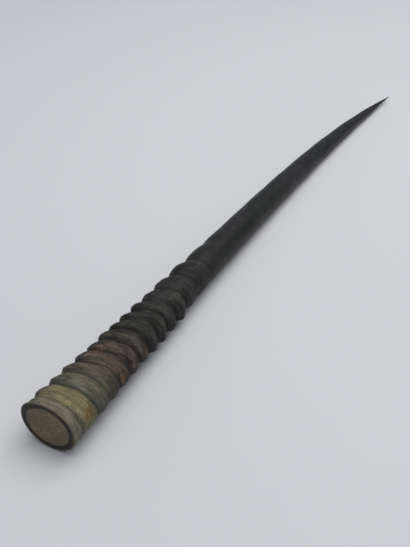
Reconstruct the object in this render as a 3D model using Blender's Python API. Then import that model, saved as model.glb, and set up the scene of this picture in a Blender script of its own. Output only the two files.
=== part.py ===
"""A gemsbok horn, cut off flat where the hair began and laid down on its inner side.

Metres, +Z up. The horn is first shaped along a gently bent spine that starts at the cut and runs
along +X, with its outer side up and its front, the convex side, toward +Y. It is then turned until
it rests on its rings and its shaft, with the origin on the surface under the middle of its box.

A place on the horn is given by its growth, counted in rings from the skull, and by its angle around
the spine, which is 0 on the outer side, a quarter turn on the front and negative on the back.
"""

import math

import bmesh
import bpy
from mathutils import Matrix, Vector

# The horn as a whole
HORN_LENGTH = 0.875  # along the spine, from the cut to the point
TIP_TURN = math.radians(-10.0)  # what the spine has turned at the point, toward the back
SHAFT_WIDTH = 0.0450  # thickness that the taper starts from
TAPER_BULGE = (0.41, 1.45)  # how much fuller than a plain cone the taper is
BASE_FLARE = 0.0071  # extra thickness at the cut
FLARE_REACH = 0.110  # how far the flare is felt along the horn
BASE_OVAL = 0.10  # the base is this share wider from front to back than from side to side
POINT_OVAL = 0.04
TIP_RADIUS = 0.0011
SMOOTH_TIP = 0.10  # the rings have no height within this distance of the point

# Where the rings are
RING_PITCH = 0.0183  # from valley to valley where a ring is nearest the skull
CUT_GROWTH = -0.55  # the cut passes this share of a ring below the first valley
WIDE_FROM = 8.5  # from this ring on each ring is longer than the one before
PITCH_GROWTH = 0.0028
SETTLING = 1.6  # rings that it takes from the square cut to the full lean
LEAN = (0.0086, 0.0095)  # half of how far a ring leans toward the point, low and high on the horn
LEAN_SIDE = math.radians(8.0)  # the side where a ring is nearest the skull
LEAN_RISE = (2.0, 7.0)
LEAN_FADE = (9.0, 13.5)
BOW = (0.0016, 0.0047)  # how far two opposite sides of a ring run ahead of the others
BOW_SIDE = math.radians(-29.0)
RING_WANDER = 0.0009  # how far a ring strays from an even slope
WANDER_TURN = 1.3  # how far round the horn the stray moves with each ring
WANDER_RISE = 1.5
WANDER_FADE = (11.0, 16.0)

# How the rings stand out, from valley to crest
HIGH_SIDE = math.radians(60.0)
FRONT_HEIGHT = (0.0047, 0.0050)  # near the skull, and at the last strong rings
FRONT_RISE = (5.0, 10.0)
FRONT_FADE = (11.0, 13.8)
BACK_HEIGHT = (0.0024, 0.0074)
BACK_RISE = (5.2, 7.6)
BACK_FADE = (8.8, 11.4)
BACK_POWER = 2.2  # how near the back the height of the back takes over
LAST_HEIGHT = 0.08  # share of the height that is left as a faint swelling on the shaft
SUNK_SHARE = 0.45  # share of the height that lies below the even surface, in the valleys
DOME_POWER = (1.0, 1.5)  # front rings are round domes, those at the back are more pointed
HEIGHT_VARIETY = 0.16
VARIETY_TURN = 2.4  # how far round the horn the highest place moves with each ring
VARIETY_START = 1.0

# How it lies
REST_ROLL = math.radians(-1.912)
REST_PITCH = math.radians(1.471)

# How finely it is cut into faces
SIDES = 32
RINGED_UP_TO = 14.0
STEPS_PER_RING = 8
STEPS_PER_SHAFT_RING = 4

HORN_COLOUR = (0.035, 0.033, 0.030, 1.0)
HORN_ROUGHNESS = 0.55


def smooth_step(value, low, high):
    """Nought below low, one above high, and an even curve between them."""
    share = min(max((value - low) / (high - low), 0.0), 1.0)
    return share * share * (3.0 - 2.0 * share)


def between(pair, share):
    return pair[0] + (pair[1] - pair[0]) * share


def front_distance(growth):
    """How far from the cut the growth lies, along the side where the rings are nearest the skull."""
    extra = max(growth - WIDE_FROM, 0.0)
    return RING_PITCH * (growth - CUT_GROWTH) + PITCH_GROWTH * extra**2


def distance_of(growth, angle):
    """How far from the cut a place lies, along the spine."""
    grown = smooth_step(growth, *LEAN_RISE)
    settled = smooth_step(growth, CUT_GROWTH, CUT_GROWTH + SETTLING) * (1.0 - smooth_step(growth, *LEAN_FADE))
    lean = between(LEAN, grown) * (1.0 - math.cos(angle - LEAN_SIDE))
    bow = between(BOW, grown) * math.cos(2.0 * (angle - BOW_SIDE))
    strayed = smooth_step(growth, CUT_GROWTH, WANDER_RISE) * (1.0 - smooth_step(growth, *WANDER_FADE))
    wander = RING_WANDER * strayed * math.sin(2.0 * angle + WANDER_TURN * growth)
    return front_distance(growth) + (lean + bow) * settled + wander


def full_growth():
    """The growth at the point, where the front distance is the length of the horn."""
    low, high = CUT_GROWTH, 60.0
    for _ in range(60):
        middle = (low + high) / 2
        if front_distance(middle) < HORN_LENGTH:
            low = middle
        else:
            high = middle
    return low


def front_share(angle):
    """One on the side where the rings stand highest, and nought opposite."""
    return 0.5 + 0.5 * math.cos(angle - HIGH_SIDE)


def ring_height(growth, angle):
    """Height from valley to crest."""
    front = between(FRONT_HEIGHT, smooth_step(growth, *FRONT_RISE))
    back = between(BACK_HEIGHT, smooth_step(growth, *BACK_RISE))
    front *= 1.0 - (1.0 - LAST_HEIGHT) * smooth_step(growth, *FRONT_FADE)
    back *= 1.0 - (1.0 - LAST_HEIGHT) * smooth_step(growth, *BACK_FADE)
    turned = VARIETY_TURN * math.floor(growth) + VARIETY_START + angle
    variety = 1.0 + HEIGHT_VARIETY * math.sin(turned)
    return between((front, back), (1.0 - front_share(angle)) ** BACK_POWER) * variety


def relief(growth, angle):
    """How far a place stands out from the even surface, or is sunk into it."""
    across = math.sin(math.pi * (growth - math.floor(growth)))
    front_power, back_power = DOME_POWER
    power = between((back_power, front_power), front_share(angle))
    return ring_height(growth, angle) * (across**power - SUNK_SHARE)


def core_radius(distance, angle):
    """Radius of the even surface that the rings ride on."""
    share = min(distance / HORN_LENGTH, 1.0)
    linear, cube = TAPER_BULGE
    taper = (1.0 - share) * (1.0 + linear * share + cube * share**3)
    flare = BASE_FLARE * math.exp(-((distance / FLARE_REACH) ** 2))
    oval = BASE_OVAL + (POINT_OVAL - BASE_OVAL) * share
    return (SHAFT_WIDTH * taper + flare) / 2 * (1.0 - 0.5 * oval * math.cos(2.0 * angle))


def spine_frame(distance):
    """Point on the spine and its direction toward the front. The turn grows with the cube of the distance."""
    turn = TIP_TURN * (distance / HORN_LENGTH) ** 3
    along = distance * (1.0 - turn**2 / 14.0)
    aside = distance * turn * (1.0 / 4.0 - turn**2 / 60.0)
    return Vector((along, aside, 0.0)), Vector((-math.sin(turn), math.cos(turn), 0.0))


def surface_point(growth, angle):
    distance = distance_of(growth, angle)
    ring_left = smooth_step(HORN_LENGTH - distance, 0.0, SMOOTH_TIP)
    radius = core_radius(distance, angle) + relief(growth, angle) * ring_left
    centre, front = spine_frame(distance)
    outward = Vector((0.0, 0.0, math.cos(angle))) + front * math.sin(angle)
    return centre + outward * max(radius, TIP_RADIUS)


def growth_rows(last):
    """Rows of points from the cut to just short of the point, close together where the rings are."""
    rows = []
    growth = math.ceil(CUT_GROWTH * STEPS_PER_RING) / STEPS_PER_RING
    rows.append(CUT_GROWTH)
    while growth < last - 0.15:
        if growth - rows[-1] > 0.5 / STEPS_PER_RING:
            rows.append(growth)
        growth += 1.0 / (STEPS_PER_RING if growth < RINGED_UP_TO else STEPS_PER_SHAFT_RING)
    return rows + [last - 0.08, last - 0.02]


def horn_mesh():
    shape = bmesh.new()
    last = full_growth()
    angles = [2.0 * math.pi * (side + 0.5) / SIDES for side in range(SIDES)]
    loops = [
        [shape.verts.new(surface_point(growth, angle)) for angle in angles] for growth in growth_rows(last)
    ]
    for lower, upper in zip(loops, loops[1:]):
        for side in range(SIDES):
            beside = (side + 1) % SIDES
            shape.faces.new((lower[side], upper[side], upper[beside], lower[beside]))
    shape.faces.new(loops[0])
    point = shape.verts.new(spine_frame(HORN_LENGTH)[0])
    for side in range(SIDES):
        shape.faces.new((loops[-1][side], point, loops[-1][(side + 1) % SIDES]))
    bmesh.ops.recalc_face_normals(shape, faces=shape.faces)
    mesh = bpy.data.meshes.new("horn")
    shape.to_mesh(mesh)
    shape.free()
    return mesh


def lay_down(mesh):
    """Turns the horn onto its resting side, and puts the origin on the surface under its middle."""
    mesh.transform(Matrix.Rotation(REST_PITCH, 4, "Y") @ Matrix.Rotation(REST_ROLL, 4, "X"))
    spans = [[vertex.co[axis] for vertex in mesh.vertices] for axis in range(3)]
    middle = [(min(span) + max(span)) / 2 for span in spans]
    mesh.transform(Matrix.Translation((-middle[0], -middle[1], -min(spans[2]))))


def horn_material():
    material = bpy.data.materials.new("horn")
    material.use_nodes = True
    surface = material.node_tree.nodes["Principled BSDF"]
    surface.inputs["Base Color"].default_value = HORN_COLOUR
    surface.inputs["Roughness"].default_value = HORN_ROUGHNESS
    surface.inputs["Metallic"].default_value = 0.0
    return material


def build_horn():
    mesh = horn_mesh()
    lay_down(mesh)
    mesh.materials.append(horn_material())
    mesh.shade_smooth()
    mesh.set_sharp_from_angle(angle=math.radians(60.0))
    horn = bpy.data.objects.new("horn", mesh)
    bpy.context.scene.collection.objects.link(horn)
    return horn


for old in list(bpy.data.objects):
    bpy.data.objects.remove(old)
build_horn()
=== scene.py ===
import math

import bpy
from mathutils import Matrix, Vector


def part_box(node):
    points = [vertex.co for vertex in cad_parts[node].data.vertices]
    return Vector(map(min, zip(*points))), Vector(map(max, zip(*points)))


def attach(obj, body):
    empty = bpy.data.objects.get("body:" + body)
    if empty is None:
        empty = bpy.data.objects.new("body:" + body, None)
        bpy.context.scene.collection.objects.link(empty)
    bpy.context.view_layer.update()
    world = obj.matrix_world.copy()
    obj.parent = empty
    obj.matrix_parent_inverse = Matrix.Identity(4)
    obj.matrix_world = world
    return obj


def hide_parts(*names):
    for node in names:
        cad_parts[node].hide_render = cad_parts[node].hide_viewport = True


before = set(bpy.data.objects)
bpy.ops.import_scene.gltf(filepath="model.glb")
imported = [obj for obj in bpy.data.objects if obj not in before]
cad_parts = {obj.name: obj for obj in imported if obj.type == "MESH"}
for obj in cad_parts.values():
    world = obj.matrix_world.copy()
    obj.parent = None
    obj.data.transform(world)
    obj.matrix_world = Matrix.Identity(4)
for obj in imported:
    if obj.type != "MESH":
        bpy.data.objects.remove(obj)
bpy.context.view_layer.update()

print("packed horn loaded")


class Wire:  # one socket of a node; sums on it add Math nodes behind it
    def __init__(self, bench, socket):
        self.bench = bench
        self.socket = socket

    def sum(self, operation, *others):
        return self.bench.node("ShaderNodeMath", {"operation": operation}, dict(enumerate((self,) + others)))

    def __add__(self, other):
        return self.sum("ADD", other)

    def __radd__(self, other):
        return self.sum("ADD", other)

    def __sub__(self, other):
        return self.sum("SUBTRACT", other)

    def __rsub__(self, other):
        return self.bench.node("ShaderNodeMath", {"operation": "SUBTRACT"}, {0: other, 1: self})

    def __mul__(self, other):
        return self.sum("MULTIPLY", other)

    def __rmul__(self, other):
        return self.sum("MULTIPLY", other)

    def __truediv__(self, other):
        return self.sum("DIVIDE", other)

    def __pow__(self, other):
        return self.sum("POWER", other)

    def out(self, name):  # another output of the same node
        return Wire(self.bench, self.socket.node.outputs[name])


class Bench:  # a node tree that is being wired
    def __init__(self, tree):
        self.tree = tree
        tree.nodes.clear()

    def node(self, kind, settings=None, sockets=None, out=0):
        made = self.tree.nodes.new(kind)
        for name, value in (settings or {}).items():
            if name == "stops":
                self.setStops(made.color_ramp, value)
            else:
                setattr(made, name, value)
        for name, value in (sockets or {}).items():
            if isinstance(value, Wire):
                self.tree.links.new(value.socket, made.inputs[name])
            else:
                made.inputs[name].default_value = value
        return Wire(self, made.outputs[out]) if len(made.outputs) else made

    def setStops(self, ramp, stops):
        while len(ramp.elements) < len(stops):
            ramp.elements.new(1.0)
        for element, (place, colour) in zip(ramp.elements, stops):
            element.position = place
            element.color = colour

    def step(self, value, low, high, start=0.0, end=1.0):  # an even curve from start to end
        limits = {"Value": value, "From Min": low, "From Max": high, "To Min": start, "To Max": end}
        return self.node("ShaderNodeMapRange", {"interpolation_type": "SMOOTHSTEP"}, limits)

    def vector(self, x, y, z):
        return self.node("ShaderNodeCombineXYZ", {}, {"X": x, "Y": y, "Z": z})

    def vectors(self, operation, first, second):  # Vector Math on two vectors, or on one and a scale
        other = "Scale" if operation == "SCALE" else 1
        out = "Value" if operation in ("DOT_PRODUCT", "DISTANCE") else 0
        return self.node("ShaderNodeVectorMath", {"operation": operation}, {0: first, other: second}, out=out)

    def attribute(self, name, out="Fac"):
        return self.node("ShaderNodeAttribute", {"attribute_name": name}, out=out)

    def colourNoise(self, vector, scale, detail):
        grain = {"Vector": vector, "Scale": scale, "Detail": detail}
        return self.node("ShaderNodeTexNoise", {}, grain, out="Color")

    def noise(self, vector, scale, detail=2.0, seed=0.0, rough=0.5):  # runs either side of nought
        grain = {"Vector": vector, "W": seed, "Scale": scale, "Detail": detail, "Roughness": rough}
        return self.node("ShaderNodeTexNoise", {"noise_dimensions": "4D"}, grain) - 0.5

    def mix(self, share, first, second, blend="MIX"):  # of two colours
        return self.node(
            "ShaderNodeMix",
            {"data_type": "RGBA", "blend_type": blend},
            {"Factor": share, 6: first, 7: second},
            out=2,
        )


# The horn. Lengths are in metres and angles in radians. Growth is counted in rings from the skull, and the
# angle round the spine is nought on the outer side and a quarter turn on the front.
hornShape = {
    "hornLength": 0.875,  # along the spine
    "tipTurn": math.radians(-10.0),  # how far the spine has turned at the point
    "shaftWidth": 0.0450,  # thickness that the taper starts from
    "bulgeLinear": 0.41,  # how much fuller than a plain cone the taper is
    "bulgeCube": 1.45,
    "baseFlare": 0.0071,
    "flareReach": 0.110,
    "baseOval": 0.10,
    "pointOval": 0.04,
    "ringPitch": 0.0183,  # from valley to valley where a ring is nearest the skull
    "cutGrowth": -0.55,  # the cut lies below the first valley
    "settling": 1.6,  # rings from the square cut to the full lean
    "wideFrom": 8.5,  # from this ring on each ring is longer than the one before
    "pitchGrowth": 0.0028,
    "leanLow": 0.0086,  # half of how far a ring leans toward the point, near the cut
    "leanHigh": 0.0095,  # and where it leans most
    "leanSide": math.radians(8.0),
    "bowLow": 0.0016,  # how far two opposite sides of a ring run ahead of the others
    "bowHigh": 0.0047,
    "bowSide": math.radians(-29.0),
    "highSide": math.radians(60.0),
    "ringWander": 0.0009,  # how far a ring strays from an even slope
    "wanderRise": 1.5,
    "wanderTurn": 1.3,  # how far round the horn the stray moves with each ring
    "frontHeightLow": 0.0047,
    "frontHeightHigh": 0.0050,
    "backHeightLow": 0.0024,
    "backHeightHigh": 0.0074,
    "backPower": 2.2,  # how near the back the height of the back takes over
    "lastHeight": 0.08,
    "sunkShare": 0.45,  # how much of a ring's height lies below the even surface
    "frontDome": 1.0,
    "backDome": 1.5,
    "heightVariety": 0.16,
    "varietyTurn": 2.4,  # how far round the highest place moves with each ring
    "varietyStart": 1.0,
    "smoothTip": 0.10,  # the relief fades out over this distance before the point
    "wornSideLow": math.radians(-30.0),  # the side where the rings are worn flat, near the cut
    "wornSideHigh": math.radians(-42.0),  # and farther up
    "wornReachLow": -0.10,  # how far round it goes, as a cosine: the lower, the farther
    "wornReachHigh": 0.25,
    "wornSoftness": 0.6,
    "wornAwayLow": 0.64,  # how much of their height is gone there
    "wornAwayHigh": 0.50,
    "wornDome": 0.70,  # the lower, the flatter a worn ring and the narrower its groove
    "lipHeight": 0.0006,  # the thin ridge that ends a ring on the side of the point
    "lipPlace": 0.83,  # how far along the ring it runs
    "lipWidth": 0.055,
    "lipBreak": 0.12,  # the higher, the softer the ends of its broken pieces
    "rimWear": 0.0008,  # the rounded edge of the cut
    "wrinkleHeight": 0.0030,
    "wrinkleStretch": 3.6,  # the higher, the shorter the wrinkles are along the horn
    "lipStretch": 3.1,  # how much the breaks change from ring to ring
    "fibreHeight": 0.00022,
    "fibreStretch": 6.0,
    "seed": 4.0,
}
hornReach = {  # the growth where a change starts and ends, and the share before and after it
    "leanGrows": (2.0, 7.0, 0.0, 1.0),
    "leanFades": (9.0, 13.5, 1.0, 0.0),
    "wanderFades": (11.0, 16.0, 1.0, 0.0),
    "frontGrows": (5.0, 10.0, 0.0, 1.0),
    "frontFades": (11.0, 13.8, 0.0, 1.0),
    "backGrows": (5.2, 7.6, 0.0, 1.0),
    "backFades": (8.8, 11.4, 0.0, 1.0),
    "wearShifts": (4.6, 6.6, 0.0, 1.0),
    "wrinklesFade": (11.0, 14.5, 1.0, 0.25),
    "lipsFade": (11.0, 14.0, 1.0, 0.0),
}
hornRelief = {  # scale, detail, what is added to the seed, and roughness
    "wrinkles": (1.0, 3.0, 0.0, 0.55),
    "brokenLips": (1.3, 2.0, 3.0, 0.5),
    "fibres": (9.0, 3.0, 7.0, 0.5),
}
hornMesh = {
    "columns": 129,  # the last one meets the first
    "capRows": 14,
    "rowsPerRing": 34,
    "ringedUpTo": 14.0,
    "rowsPerShaftRing": 16,
    "mergeWithin": 1e-6,
}
hornRest = {
    "roll": math.radians(-1.912),
    "pitch": math.radians(1.471),
}


def rowsOfRings():
    return round((hornMesh["ringedUpTo"] - hornShape["cutGrowth"]) * hornMesh["rowsPerRing"])


def growthAtPoint(shape):
    pitch = shape["ringPitch"]
    growth = shape["pitchGrowth"]
    beyond = shape["hornLength"] - pitch * (shape["wideFrom"] - shape["cutGrowth"])
    return shape["wideFrom"] + (math.sqrt(pitch**2 + 4.0 * growth * beyond) - pitch) / (2.0 * growth)


def growSide(bench, v, row, angle):
    # where every point of the grid goes, from its row and its angle
    def over(name):
        return bench.step(growth, *hornReach[name])

    def rough(vector, name):
        scale, detail, seed, roughness = hornRelief[name]
        return bench.noise(vector, scale, detail, v["seed"] + seed, roughness)

    capRows = hornMesh["capRows"]
    ringed = bench.node("ShaderNodeClamp", {}, {"Value": row - capRows, "Min": 0.0, "Max": rowsOfRings()})
    shaft = (row - (capRows + rowsOfRings())).sum("MAXIMUM", 0.0)
    growth = v["cutGrowth"] + ringed / hornMesh["rowsPerRing"] + shaft / hornMesh["rowsPerShaftRing"]
    capShare = bench.node("ShaderNodeClamp", {}, {"Value": row / capRows, "Min": 0.0, "Max": 1.0})

    extra = (growth - v["wideFrom"]).sum("MAXIMUM", 0.0)
    frontDistance = v["ringPitch"] * (growth - v["cutGrowth"]) + v["pitchGrowth"] * extra * extra
    facing = (angle - v["leanSide"]).sum("COSINE")
    settled = bench.step(growth, v["cutGrowth"], v["cutGrowth"] + v["settling"])
    grown = over("leanGrows")
    tilt = v["leanLow"] + (v["leanHigh"] - v["leanLow"]) * grown
    bow = v["bowLow"] + (v["bowHigh"] - v["bowLow"]) * grown
    bow = bow * (2.0 * (angle - v["bowSide"])).sum("COSINE")
    lean = (tilt * (1.0 - facing) + bow) * settled * over("leanFades")
    strayed = bench.step(growth, v["cutGrowth"], v["wanderRise"]) * over("wanderFades")
    wander = v["ringWander"] * strayed * (2.0 * angle + v["wanderTurn"] * growth).sum("SINE")
    distance = (frontDistance + lean + wander).sum("MINIMUM", v["hornLength"])

    frontness = (angle - v["highSide"]).sum("COSINE") * 0.5 + 0.5
    front = v["frontHeightLow"] + (v["frontHeightHigh"] - v["frontHeightLow"]) * over("frontGrows")
    front = front * (1.0 - (1.0 - v["lastHeight"]) * over("frontFades"))
    back = v["backHeightLow"] + (v["backHeightHigh"] - v["backHeightLow"]) * over("backGrows")
    back = back * (1.0 - (1.0 - v["lastHeight"]) * over("backFades"))
    turned = v["varietyTurn"] * growth.sum("FLOOR") + v["varietyStart"] + angle
    variety = 1.0 + v["heightVariety"] * turned.sum("SINE")
    height = (front + (back - front) * (1.0 - frontness) ** v["backPower"]) * variety
    higher = over("wearShifts")
    wornSide = v["wornSideLow"] + (v["wornSideHigh"] - v["wornSideLow"]) * higher
    wornReach = v["wornReachLow"] + (v["wornReachHigh"] - v["wornReachLow"]) * higher
    worn = bench.step((angle - wornSide).sum("COSINE"), wornReach, wornReach + v["wornSoftness"])
    height = height * (1.0 - worn * (v["wornAwayLow"] + (v["wornAwayHigh"] - v["wornAwayLow"]) * higher))
    across = (math.pi * growth.sum("FRACT")).sum("SINE").sum("MAXIMUM", 0.0)
    rounding = v["backDome"] + (v["frontDome"] - v["backDome"]) * frontness
    dome = across ** (rounding + (v["wornDome"] - rounding) * worn)

    toOuter, toFront = angle.sum("COSINE"), angle.sum("SINE")
    ripple = rough(bench.vector(toOuter, toFront, growth * v["wrinkleStretch"]), "wrinkles")
    wrinkles = v["wrinkleHeight"] * over("wrinklesFade") * ripple
    fromLip = (growth.sum("FRACT") - v["lipPlace"]) / v["lipWidth"]
    broken = bench.vector(toOuter, toFront, growth.sum("FLOOR") * v["lipStretch"])
    broken = bench.step(rough(broken, "brokenLips"), 0.0 - v["lipBreak"], v["lipBreak"])
    lip = (0.0 - fromLip * fromLip).sum("EXPONENT") * broken * over("lipsFade")
    fibres = rough(bench.vector(toOuter, toFront, distance * v["fibreStretch"]), "fibres")

    along = distance / v["hornLength"]
    taper = (1.0 - along) * (1.0 + v["bulgeLinear"] * along + v["bulgeCube"] * along ** 3.0)
    flare = v["baseFlare"] * (0.0 - (distance / v["flareReach"]) ** 2.0).sum("EXPONENT")
    oval = v["baseOval"] + (v["pointOval"] - v["baseOval"]) * along
    core = (v["shaftWidth"] * taper + flare) * 0.5 * (1.0 - 0.5 * oval * (2.0 * angle).sum("COSINE"))
    nearPoint = bench.step(v["hornLength"] - distance, 0.0, v["smoothTip"])
    raised = height * (dome - v["sunkShare"]) + v["lipHeight"] * lip + wrinkles + v["fibreHeight"] * fibres
    radius = core + raised * nearPoint
    rim = (1.0 - distance / v["rimWear"]).sum("MAXIMUM", 0.0)
    radius = radius - v["rimWear"] * (1.0 - (1.0 - rim * rim).sum("SQRT"))
    radius = radius.sum("MAXIMUM", 0.0) * capShare

    # the spine's turn grows with the cube of the distance; ahead and aside are the start of its series
    turn = v["tipTurn"] * along * along * along
    ahead = distance * (1.0 - turn * turn / 14.0)
    aside = distance * turn * (0.25 - turn * turn / 60.0)
    outFront = radius * toFront
    place = bench.vector(
        ahead - outFront * turn.sum("SINE"),
        aside + outFront * turn.sum("COSINE"),
        radius * toOuter,
    )
    marks = {
        "growthPlace": bench.vector(toOuter, toFront, growth),
        "fromCut": distance,
        "ringLift": dome,
        "lip": lip,
        "ripple": ripple,
        "capShare": capShare,
    }
    return place, marks


def hornTree(material):
    tree = bpy.data.node_groups.new("growHorn", "GeometryNodeTree")
    bench = Bench(tree)
    for name in hornShape:
        tree.interface.new_socket(name, in_out="INPUT", socket_type="NodeSocketFloat")
    for name in ("restRoll", "restPitch"):
        tree.interface.new_socket(name, in_out="INPUT", socket_type="NodeSocketFloat")
    tree.interface.new_socket("horn", in_out="OUTPUT", socket_type="NodeSocketGeometry")
    start = bench.node("NodeGroupInput")
    v = {item.name: start.out(item.name) for item in tree.interface.items_tree if item.in_out == "INPUT"}

    shaftRows = round((growthAtPoint(hornShape) - hornMesh["ringedUpTo"]) * hornMesh["rowsPerShaftRing"])
    rows = hornMesh["capRows"] + rowsOfRings() + shaftRows
    size = {"Size X": float(rows), "Size Y": math.tau}
    points = {"Vertices X": rows + 1, "Vertices Y": hornMesh["columns"]}
    grid = bench.node("GeometryNodeMeshGrid", {}, {**size, **points})
    flat = bench.node("ShaderNodeSeparateXYZ", {}, {"Vector": bench.node("GeometryNodeInputPosition")})
    row = (flat + rows / 2.0).sum("ROUND")  # X of the grid, counted from its edge
    place, marks = growSide(bench, v, row, flat.out("Y") + math.pi)
    shape = grid
    for name, value in marks.items():
        kind = "FLOAT_VECTOR" if name == "growthPlace" else "FLOAT"
        shape = bench.node(
            "GeometryNodeStoreNamedAttribute",
            {"data_type": kind},
            {"Geometry": shape, "Name": name, "Value": value},
        )
    shape = bench.node("GeometryNodeSetPosition", {}, {"Geometry": shape, "Position": place})
    merge = {"Geometry": shape, "Distance": hornMesh["mergeWithin"]}
    shape = bench.node("GeometryNodeMergeByDistance", {}, merge)
    turned = bench.vector(v["restRoll"], v["restPitch"], 0.0)
    shape = bench.node("GeometryNodeTransform", {}, {"Geometry": shape, "Rotation": turned})
    shape = bench.node("GeometryNodeSetShadeSmooth", {}, {"Geometry": shape})
    shape = bench.node("GeometryNodeRealizeInstances", {}, {"Geometry": shape})
    shape = bench.node("GeometryNodeSetMaterial", {}, {"Geometry": shape, "Material": material})
    bench.node("NodeGroupOutput", {}, {"horn": shape})
    return tree


def screen(red, green, blue):  # a colour as a screen shows it, from 0 to 255
    shares = [value / 255.0 for value in (red, green, blue)]
    linear = [((share + 0.055) / 1.055) ** 2.4 for share in shares]
    return (*linear, 1.0)


hornColours = {
    "zones": [  # the growth where a tone is pure, then the tone
        (-0.60, screen(107, 102, 88)),
        (0.00, screen(106, 101, 86)),
        (0.08, screen(112, 106, 80)),
        (0.80, screen(112, 104, 75)),
        (0.95, screen(80, 79, 70)),
        (1.35, screen(80, 80, 71)),
        (1.50, screen(89, 87, 73)),
        (1.90, screen(85, 82, 68)),
        (2.10, screen(77, 73, 60)),
        (3.30, screen(77, 65, 56)),
        (4.70, screen(72, 61, 54)),
        (5.30, screen(57, 52, 46)),
        (6.10, screen(43, 43, 40)),
        (10.00, screen(41, 41, 40)),
        (13.70, screen(28, 29, 28)),
        (26.00, screen(29, 29, 32)),
    ],
    "spots": [  # growth, angle in degrees, radius in horn radii, strength and tone
        (0.52, -76.0, 0.34, 0.75, screen(108, 84, 44)),
        (3.30, -88.0, 0.30, 0.75, screen(98, 70, 40)),
        (0.38, 10.0, 0.42, 0.40, screen(82, 77, 64)),
        (3.40, 6.0, 0.26, 0.50, screen(58, 50, 44)),
        (4.74, 16.0, 0.36, 0.80, screen(34, 31, 28)),
        (4.02, 10.0, 0.36, 0.70, screen(100, 73, 59)),
        (5.62, 14.0, 0.30, 0.55, screen(32, 30, 28)),
        (5.80, -90.0, 0.34, 0.60, screen(76, 58, 42)),
        (2.42, -53.0, 0.11, 0.60, screen(106, 106, 98)),
        (4.39, -87.0, 0.11, 0.75, screen(116, 106, 84)),
        (2.05, -60.0, 0.34, 0.55, screen(62, 68, 48)),
        (9.60, -40.0, 0.40, 0.35, screen(66, 58, 50)),
        (12.90, -80.0, 0.55, 0.30, screen(40, 48, 38)),
        (14.10, 0.0, 0.60, 0.30, screen(50, 44, 56)),
        (15.10, -60.0, 0.60, 0.30, screen(43, 50, 38)),
        (17.00, -45.0, 0.80, 0.30, screen(52, 48, 60)),
        (1.30, 150.0, 0.45, 0.60, screen(96, 80, 50)),
        (4.60, 170.0, 0.35, 0.55, screen(84, 62, 44)),
        (7.40, 120.0, 0.40, 0.40, screen(66, 56, 44)),
    ],
    "frontDarkTone": screen(31, 35, 29),  # a dark green-black tone laid along the front of the rings
    # painted shade on the back of the horn, the side that lies lowest
    "backShadeTone": screen(34, 31, 27),
    # painted shade in the grooves between the rings
    "groove": (0.36, 0.36, 0.33, 1.0),
    "worn": (1.22, 1.20, 1.14, 1.0),
    "warm": (1.16, 1.00, 0.84, 1.0),
    "cool": (0.90, 1.02, 1.00, 1.0),
    "sheathEdge": screen(52, 46, 38),
    "sawnBone": screen(122, 108, 86),
    "bonePores": screen(70, 58, 42),
}
hornFinish = {
    "edgeOfBone": 0.80,  # share of the radius where the sheath begins on the cut
    "edgeWidth": 0.02,
    "roughBase": 0.62,
    "roughShaft": 0.44,
    "roughVariety": 0.22,
    "roughInGrooves": 0.10,
    "specular": 0.20,
    "bumpDepth": 0.0005,
    "bumpStrength": 0.7,
    "pitBump": 0.4,
    "speckScale": 320.0,  # pits and chips in a metre
    "speckShakeScale": 420.0,
    "speckShakeDetail": 3.0,
    "speckShake": 0.0045,
    "crumbScale": 90.0,  # the ragged edges of the spots
    "crumbDetail": 4.0,
    "crumbReach": 0.45,
    "spotLength": 0.8,  # a ring counts as this many radii in a spot
    "spotCore": 0.35,  # share of a spot's radius that has its full strength
    "frontDarkSide": math.radians(72.0),
    "backShadeSide": math.radians(-118.0),
}
hornNoise = {  # scale, detail, seed and roughness
    "zoneWaves": (45.0, 4.0, 0.0, 0.5),
    "zoneFray": (160.0, 3.0, 0.0, 0.5),
    "warm": (1.0, 3.0, 3.0, 0.5),
    "cool": (1.3, 3.0, 9.0, 0.5),
    "patches": (55.0, 4.0, 5.0, 0.5),
    "grooveFray": (120.0, 3.0, 2.0, 0.5),
    "wearFray": (140.0, 4.0, 6.0, 0.5),
    "cracks": (1.0, 4.0, 15.0, 0.6),
    "blotches": (70.0, 5.0, 11.0, 0.65),
    "fineGrain": (380.0, 3.0, 12.0, 0.6),
    "boneWalls": (520.0, 3.0, 8.0, 0.55),
    "boneCloud": (60.0, 3.0, 18.0, 0.5),
    "sheathEdge": (60.0, 3.0, 14.0, 0.5),
    "shine": (75.0, 4.0, 21.0, 0.5),
    "lines": (1.0, 4.0, 31.0, 0.6),
    "fibres": (1.0, 4.0, 32.0, 0.6),
    "pits": (900.0, 3.0, 33.0, 0.5),
}
hornAmount = {  # how much of each noise or mark is used
    "zoneWaves": 0.35,
    "zoneFray": 0.25,
    "warmOnShaft": 0.25,
    "warmOnRings": 0.80,
    "cool": 0.6,
    "patches": 0.7,
    "grooveFray": 0.25,
    "grooveDeep": 0.30,  # how much wider a groove is where grooves are deepest
    "groove": 0.66,
    "wearFray": 0.7,
    "linesOnShaft": 0.30,
    "ripple": 2.2,
    # painted highlight on the thin lip at the end of each ring
    "lip": 0.28,
    "blotches": 1.1,
    "mottleOnShaft": 1.8,
    "specksOnShaft": 0.35,
    "darkSpecks": 0.46,
    "paleSpecks": 0.38,
    "boneCloud": 0.25,
    "pores": 0.7,
    "sheathEdge": 0.10,
}
hornFade = {  # the growth where a tone changes, and its share before and after
    "ringed": (10.5, 13.5, 1.0, 0.0),
    "frontDarkening": (8.0, 11.0, 0.78, 0.0),
    "backShade": (0.5, 3.5, 0.15, 0.62),
    "deepGrooves": (2.6, 4.0, 0.0, 1.0),
    "deepGroovesEnd": (5.9, 7.2, 1.0, 0.0),
    "lines": (2.0, 3.6, 1.0, 1.6),
    "shine": (8.0, 15.0, 0.0, 1.0),
    "lineBump": (10.0, 16.0, 1.4, 0.35),
    "fibreBump": (8.0, 14.0, 0.5, 1.1),
}
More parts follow.
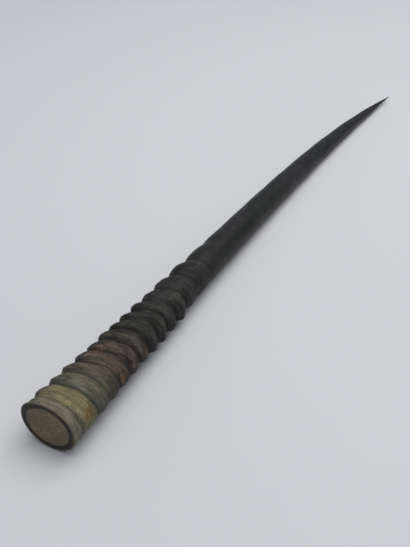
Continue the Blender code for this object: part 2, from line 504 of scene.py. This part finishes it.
hornEdge = {  # between which values a mark starts, and its share before and after
    "warm": (0.02, 0.26, 0.0, 1.0),
    "cool": (0.02, 0.26, 0.0, 1.0),
    "frontDarkening": (0.58, 1.05, 0.0, 1.0),
    "backShade": (0.55, 1.05, 0.0, 1.0),
    "groove": (0.05, 0.50, 1.0, 0.0),
    "worn": (0.72, 1.10, 0.0, 1.0),
    "crack": (0.0, 0.045, 0.34, 0.0),
    "speck": (0.12, 0.34, 1.0, 0.0),
    "speckChance": (0.70, 0.95, 0.0, 1.0),
    "pores": (0.015, 0.13, 0.0, 1.0),
    "onCut": (0.985, 0.975, 0.0, 1.0),
}
hornStretch = {  # how short a pattern is round the horn, and along it
    "drift": (1.6, 1.2),
    "cracks": (0.8, 2.2),
    "lines": (1.5, 9.0),
    "fibres": (16.0, 9.0),
}


def nearSide(bench, place, angle):  # one on that side of the horn, minus one opposite
    return bench.vectors("DOT_PRODUCT", place, (math.cos(angle), math.sin(angle), 0.0))


def stretched(bench, sides, along, name):
    girth, length = hornStretch[name]
    return bench.vector(sides * girth, sides.out("Y") * girth, along * length)


def toneOfRings(bench, place, sides, growth, body):
    # the colour of the sheath, from its zones and its stains, with painted shade in its grooves and on its
    # back side and a painted highlight on its lips
    def noise(vector, name):
        return bench.noise(vector, *hornNoise[name])

    def edge(value, name):
        return bench.step(value, *hornEdge[name])

    def fade(name):
        return bench.step(growth, *hornFade[name])

    lift = bench.attribute("ringLift")
    amount = hornAmount
    topGrowth = hornColours["zones"][-1][0] + 1.0
    stops = [((at + 1.0) / (topGrowth + 1.0), tone) for at, tone in hornColours["zones"]]
    ringed = fade("ringed")
    waves = amount["zoneWaves"] * noise(body, "zoneWaves") + amount["zoneFray"] * noise(body, "zoneFray")
    ragged = growth + waves * ringed
    tone = bench.node("ShaderNodeValToRGB", {"stops": stops}, {"Fac": (ragged + 1.0) / (topGrowth + 1.0)})
    drift = stretched(bench, sides, growth, "drift")
    warmth = amount["warmOnShaft"] + (amount["warmOnRings"] - amount["warmOnShaft"]) * ringed
    tone = bench.mix(edge(noise(drift, "warm"), "warm") * warmth, tone, hornColours["warm"], "MULTIPLY")
    chill = edge(noise(drift, "cool"), "cool") * amount["cool"]
    tone = bench.mix(chill, tone, hornColours["cool"], "MULTIPLY")

    patchy = amount["patches"] * noise(body, "patches")
    # the rings turn darker towards the front side, in a dark green-black tone
    frontDarkening = edge(nearSide(bench, place, hornFinish["frontDarkSide"]) + patchy, "frontDarkening") * fade("frontDarkening")
    tone = bench.mix(frontDarkening, tone, hornColours["frontDarkTone"])
    # painted shade: the back and lower side of the horn is darkened in colour
    backShade = edge(nearSide(bench, place, hornFinish["backShadeSide"]) + patchy, "backShade") * fade("backShade")
    tone = bench.mix(backShade, tone, hornColours["backShadeTone"])

    # painted shade in the grooves between the rings, strongest where the grooves are deepest
    deepest = fade("deepGrooves") * fade("deepGroovesEnd")
    sunk = lift + amount["grooveFray"] * noise(body, "grooveFray") - amount["grooveDeep"] * deepest
    groove = edge(sunk, "groove") * ringed
    grooveShade = groove * (amount["groove"] + (1.0 - amount["groove"]) * deepest)
    tone = bench.mix(grooveShade, tone, hornColours["groove"], "MULTIPLY")

    crumbs = bench.colourNoise(body, hornFinish["crumbScale"], hornFinish["crumbDetail"])
    crumbs = bench.vectors("SUBTRACT", crumbs, (0.5, 0.5, 0.5))
    crumbs = bench.vectors("SCALE", crumbs, hornFinish["crumbReach"])
    stained = bench.vectors("MULTIPLY", place, (1.0, 1.0, hornFinish["spotLength"]))
    stained = bench.vectors("ADD", stained, crumbs)
    for at, degrees, radius, strength, stain in hornColours["spots"]:
        angle = math.radians(degrees)
        middle = (math.cos(angle), math.sin(angle), at * hornFinish["spotLength"])
        away = bench.vectors("DISTANCE", stained, middle)
        spot = bench.step(away, radius * hornFinish["spotCore"], radius, strength, 0.0)
        tone = bench.mix(spot, tone, stain)

    worn = edge(lift + amount["wearFray"] * noise(body, "wearFray"), "worn") * ringed
    tone = bench.mix(worn, tone, hornColours["worn"], "MULTIPLY")
    threads = stretched(bench, sides, growth, "cracks")
    cracks = edge(noise(threads, "cracks").sum("ABSOLUTE"), "crack")
    lined = (amount["linesOnShaft"] + (1.0 - amount["linesOnShaft"]) * ringed) * fade("lines")
    streaks = (1.0 + amount["ripple"] * bench.attribute("ripple") * lined) * (1.0 - cracks * lined)
    # painted highlight along the thin lip at the end of each ring, on top of its raised shape
    streaks = streaks * (1.0 + amount["lip"] * bench.attribute("lip"))
    mottle = amount["blotches"] * noise(body, "blotches") + noise(body, "fineGrain")
    mottle = 1.0 + mottle * (amount["mottleOnShaft"] - (amount["mottleOnShaft"] - 1.0) * ringed)
    shaken = bench.colourNoise(body, hornFinish["speckShakeScale"], hornFinish["speckShakeDetail"])
    shaken = bench.vectors("ADD", body, bench.vectors("SCALE", shaken, hornFinish["speckShake"]))
    cells = {"Vector": shaken, "Scale": hornFinish["speckScale"]}
    cells = bench.node("ShaderNodeTexVoronoi", {}, cells, out="Distance")
    chance = bench.node("ShaderNodeSeparateColor", {}, {"Color": cells.out("Color")})
    speck = edge(cells, "speck") * (amount["specksOnShaft"] + (1.0 - amount["specksOnShaft"]) * ringed)
    dark = speck * edge(chance, "speckChance") * amount["darkSpecks"]
    pale = speck * edge(chance.out("Green"), "speckChance") * amount["paleSpecks"]
    light = streaks * mottle * (1.0 - dark + pale)
    grey = bench.node("ShaderNodeCombineColor", {}, {0: light, 1: light, 2: light})
    return bench.mix(1.0, tone, grey, "MULTIPLY"), groove


def sawnTone(bench, capShare, body):
    # the flat cut: a dark rim of sheath round porous bone, in colour alone
    walls = bench.noise(body, *hornNoise["boneWalls"]).sum("ABSOLUTE")
    cloud = hornAmount["boneCloud"] * bench.noise(body, *hornNoise["boneCloud"])
    porous = bench.step(walls + cloud, *hornEdge["pores"]) * hornAmount["pores"]
    bone = bench.mix(porous, hornColours["sawnBone"], hornColours["bonePores"])
    edge, width = hornFinish["edgeOfBone"], hornFinish["edgeWidth"]
    wavy = hornAmount["sheathEdge"] * bench.noise(body, *hornNoise["sheathEdge"])
    sheath = bench.step(capShare + wavy, edge - width, edge + width)
    return bench.mix(sheath, bone, hornColours["sheathEdge"])


def keratinMaterial():
    material = bpy.data.materials.new("ringedKeratin")
    material.use_nodes = True
    bench = Bench(material.node_tree)
    place = bench.attribute("growthPlace", out="Vector")
    capShare = bench.attribute("capShare")
    body = bench.node("ShaderNodeTexCoord", out="Object")
    sides = bench.node("ShaderNodeSeparateXYZ", {}, {"Vector": place})
    growth = sides.out("Z")
    tone, groove = toneOfRings(bench, place, sides, growth, body)
    tone = bench.mix(bench.step(capShare, *hornEdge["onCut"]), tone, sawnTone(bench, capShare, body))

    smoother = (hornFinish["roughShaft"] - hornFinish["roughBase"]) * bench.step(growth, *hornFade["shine"])
    rough = hornFinish["roughBase"] + smoother + hornFinish["roughInGrooves"] * groove
    rough = rough + hornFinish["roughVariety"] * bench.noise(body, *hornNoise["shine"])
    lines = bench.noise(stretched(bench, sides, growth, "lines"), *hornNoise["lines"])
    fromCut = bench.attribute("fromCut")
    fibres = bench.noise(stretched(bench, sides, fromCut, "fibres"), *hornNoise["fibres"])
    height = lines * bench.step(growth, *hornFade["lineBump"])
    height = height + fibres * bench.step(growth, *hornFade["fibreBump"])
    height = height + hornFinish["pitBump"] * bench.noise(body, *hornNoise["pits"])
    bump = {"Strength": hornFinish["bumpStrength"], "Distance": hornFinish["bumpDepth"], "Height": height}
    look = {
        "Base Color": tone,
        "Roughness": rough,
        "Specular IOR Level": hornFinish["specular"],
        "Normal": bench.node("ShaderNodeBump", {}, bump),
    }
    surface = bench.node("ShaderNodeBsdfPrincipled", {}, look)
    bench.node("ShaderNodeOutputMaterial", {}, {"Surface": surface})
    return material


def buildHorn():
    mesh = bpy.data.meshes.new("hornStart")
    grower = bpy.data.objects.new("hornGrower", mesh)
    bpy.context.scene.collection.objects.link(grower)
    tree = hornTree(keratinMaterial())
    modifier = grower.modifiers.new("growHorn", "NODES")
    modifier.node_group = tree
    values = dict(hornShape, restRoll=hornRest["roll"], restPitch=hornRest["pitch"])
    for item in tree.interface.items_tree:
        if item.in_out == "INPUT":
            modifier[item.identifier] = values[item.name]
    graph = bpy.context.evaluated_depsgraph_get()
    grown = bpy.data.meshes.new_from_object(grower.evaluated_get(graph), depsgraph=graph)
    grower.modifiers.remove(modifier)
    bpy.data.objects.remove(grower)
    horn = bpy.data.objects.new("ringedHorn", grown)
    bpy.context.scene.collection.objects.link(horn)
    low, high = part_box("horn")
    spans = [[vertex.co[axis] for vertex in grown.vertices] for axis in range(3)]
    middle = [(min(span) + max(span)) / 2.0 for span in spans]
    ontoFloor = low[2] - min(spans[2])
    move = ((low[0] + high[0]) / 2 - middle[0], (low[1] + high[1]) / 2 - middle[1], ontoFloor)
    grown.transform(Matrix.Translation(move))
    return horn


horn = buildHorn()
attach(horn, "root")
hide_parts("horn")
print("horn grown:", len(horn.data.polygons), "faces", len(horn.data.vertices), "points")


studio = {
    "floorSize": 8.0,
    "floorColour": (0.60, 0.61, 0.64, 1.0),
    "floorRoughness": 0.9,
    "worldColour": (0.80, 0.84, 0.90, 1.0),
    "worldStrength": 0.42,
    "keyPlace": (0.35, -0.35, 2.35),
    "keySize": 2.4,
    "keyPower": 54.0,
    "keyColour": (1.0, 0.98, 0.95),
    "cameraPlace": (-0.750, -0.318, 0.512),
    "cameraAim": (-0.1694, -0.0052, 0.02),
    "lens": 48.6,
}


def paleFloor():
    size = studio["floorSize"] / 2.0
    corners = [(-size, -size, 0.0), (size, -size, 0.0), (size, size, 0.0), (-size, size, 0.0)]
    mesh = bpy.data.meshes.new("floor")
    mesh.from_pydata(corners, [], [(0, 1, 2, 3)])
    floor = bpy.data.objects.new("floor", mesh)
    bpy.context.scene.collection.objects.link(floor)
    material = bpy.data.materials.new("paleFloor")
    material.use_nodes = True
    bench = Bench(material.node_tree)
    surface = bench.node(
        "ShaderNodeBsdfPrincipled",
        {},
        {"Base Color": studio["floorColour"], "Roughness": studio["floorRoughness"]},
    )
    bench.node("ShaderNodeOutputMaterial", {}, {"Surface": surface})
    mesh.materials.append(material)


def softLight():
    world = bpy.data.worlds.new("softRoom")
    world.use_nodes = True
    bench = Bench(world.node_tree)
    sky = bench.node(
        "ShaderNodeBackground", {}, {"Color": studio["worldColour"], "Strength": studio["worldStrength"]}
    )
    bench.node("ShaderNodeOutputWorld", {}, {"Surface": sky})
    bpy.context.scene.world = world
    light = bpy.data.lights.new("keyLight", "AREA")
    light.size = studio["keySize"]
    light.energy = studio["keyPower"]
    light.color = studio["keyColour"]
    key = bpy.data.objects.new("keyLight", light)
    key.location = studio["keyPlace"]
    key.rotation_euler = (-Vector(studio["keyPlace"])).to_track_quat("-Z", "Y").to_euler()
    bpy.context.scene.collection.objects.link(key)


def aimCamera():
    camera = bpy.data.objects.new("camera", bpy.data.cameras.new("camera"))
    camera.data.lens = studio["lens"]
    camera.location = studio["cameraPlace"]
    look = Vector(studio["cameraAim"]) - camera.location
    camera.rotation_euler = look.to_track_quat("-Z", "Y").to_euler()
    bpy.context.scene.collection.objects.link(camera)
    bpy.context.scene.camera = camera


paleFloor()
softLight()
aimCamera()
bpy.context.scene.view_settings.view_transform = "Standard"
print("floor, light and camera in place")
